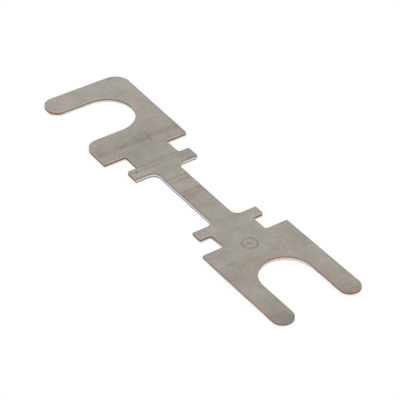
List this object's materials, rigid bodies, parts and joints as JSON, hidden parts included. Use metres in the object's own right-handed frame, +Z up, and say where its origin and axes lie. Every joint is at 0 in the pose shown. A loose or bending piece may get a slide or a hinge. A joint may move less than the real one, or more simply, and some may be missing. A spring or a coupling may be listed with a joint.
{
  "type": "bolt down strip fuse",
  "caption": "Flat stamped strip fuse of plated copper, with a hook slot and a fork slot for bolts and a narrow neck that melts between pairs of tabs.",
  "frame": {"origin": "midway between the two bolts, on the centre line and on the underside", "axes": "+X along the strip from the hook end to the fork end, +Y across it, away from the hook slot's mouth, +Z up, square to the sheet"},
  "size_m": [0.0817, 0.019, 0.0009],
  "materials": {
    "plated_copper": "satin grey plating over copper, which shows bare on the cut edges"
  },
  "bodies": {
    "root": {"fuse_strip": "plated_copper"}
  },
  "joints": []
}
